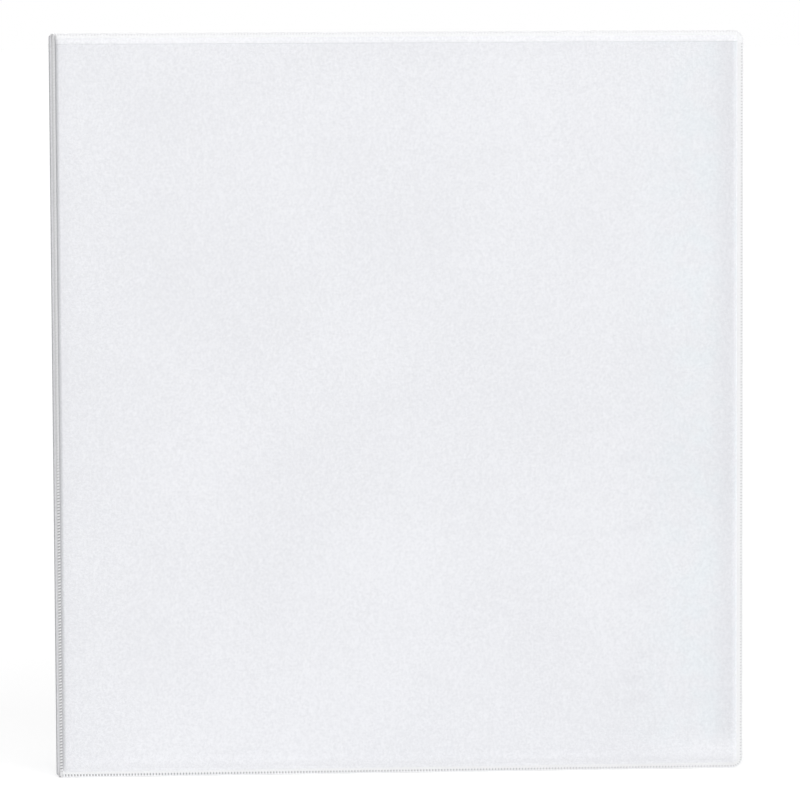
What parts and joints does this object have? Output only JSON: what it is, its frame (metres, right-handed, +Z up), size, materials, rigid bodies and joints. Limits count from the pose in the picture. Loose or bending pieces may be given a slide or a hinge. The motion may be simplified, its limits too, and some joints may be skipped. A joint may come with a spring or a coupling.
{
  "type": "ring binder",
  "caption": "White vinyl ring binder with clear cover and spine pockets, welded flexible hinges and an opening D-ring metal with end levers on the back cover.",
  "frame": {"origin": "on the floor, under the middle of the closed, standing binder's outline", "axes": "+Z up along the hinges, +X from the spine to the fore edge, -Y out of the front cover"},
  "size_m": [0.275, 0.0446, 0.2953],
  "materials": {
    "white_vinyl": "satin with a fine grain",
    "clear_film": "clear, softly shining, slightly rippled",
    "chipboard": "raw pulp board",
    "plated_steel": "bright nickel plate"
  },
  "bodies": {
    "back_cover": {"back_outer_skin": "white_vinyl", "back_board": "chipboard", "back_inner_liner": "white_vinyl", "back_inner_pocket": "white_vinyl", "back_hinge_web": "white_vinyl", "ring_housing": "plated_steel", "top_trigger_pin": "plated_steel", "bottom_trigger_pin": "plated_steel", "top_rivet": "plated_steel", "bottom_rivet": "plated_steel"},
    "spine": {"spine_outer_skin": "white_vinyl", "spine_board": "chipboard", "spine_inner_liner": "white_vinyl", "spine_overlay": "clear_film"},
    "front_cover": {"front_outer_skin": "white_vinyl", "front_board": "chipboard", "front_inner_liner": "white_vinyl", "front_overlay": "clear_film", "front_inner_pocket": "white_vinyl", "front_hinge_web": "white_vinyl"},
    "curved_side": {"curved_side_blade": "plated_steel", "curved_half_ring_top": "plated_steel", "curved_half_ring_middle": "plated_steel", "curved_half_ring_bottom": "plated_steel"},
    "straight_side": {"straight_side_blade": "plated_steel", "straight_half_ring_top": "plated_steel", "straight_half_ring_middle": "plated_steel", "straight_half_ring_bottom": "plated_steel"},
    "top_lever": {"top_trigger": "plated_steel"},
    "bottom_lever": {"bottom_trigger": "plated_steel"}
  },
  "joints": [
    {"name": "spine_hinge", "type": "hinge", "parent": "back_cover", "child": "spine", "pos_m": [-0.1359, 0.01965, 0.14765], "axis": [0, 0, -1], "range_deg": [0, 180], "deforming": ["back_hinge_web"]},
    {"name": "front_hinge", "type": "hinge", "parent": "spine", "child": "front_cover", "pos_m": [-0.1359, -0.02065, 0.14765], "axis": [0, 0, -1], "range_deg": [0, 180], "deforming": ["front_hinge_web"]},
    {"name": "curved_side_turn", "type": "hinge", "parent": "back_cover", "child": "curved_side", "pos_m": [-0.11828, 0.01418, 0.14765], "axis": [0, 0, -1], "range_deg": [0, 13]},
    {"name": "straight_side_turn", "type": "hinge", "parent": "back_cover", "child": "straight_side", "pos_m": [-0.09668, 0.01418, 0.14765], "axis": [0, 0, 1], "range_deg": [0, 13.02]},
    {"name": "top_lever_turn", "type": "hinge", "parent": "back_cover", "child": "top_lever", "pos_m": [-0.10748, 0.01538, 0.2771], "axis": [-1, 0, 0], "range_deg": [0, 24.05]},
    {"name": "bottom_lever_turn", "type": "hinge", "parent": "back_cover", "child": "bottom_lever", "pos_m": [-0.10748, 0.01538, 0.0182], "axis": [1, 0, 0], "range_deg": [0, 24.05]}
  ],
  "couplings": [
    {"joint": "straight_side_turn", "follows": "curved_side_turn", "ratio": 1},
    {"joint": "top_lever_turn", "follows": "curved_side_turn", "ratio": 1.8462},
    {"joint": "bottom_lever_turn", "follows": "curved_side_turn", "ratio": 1.8462}
  ]
}
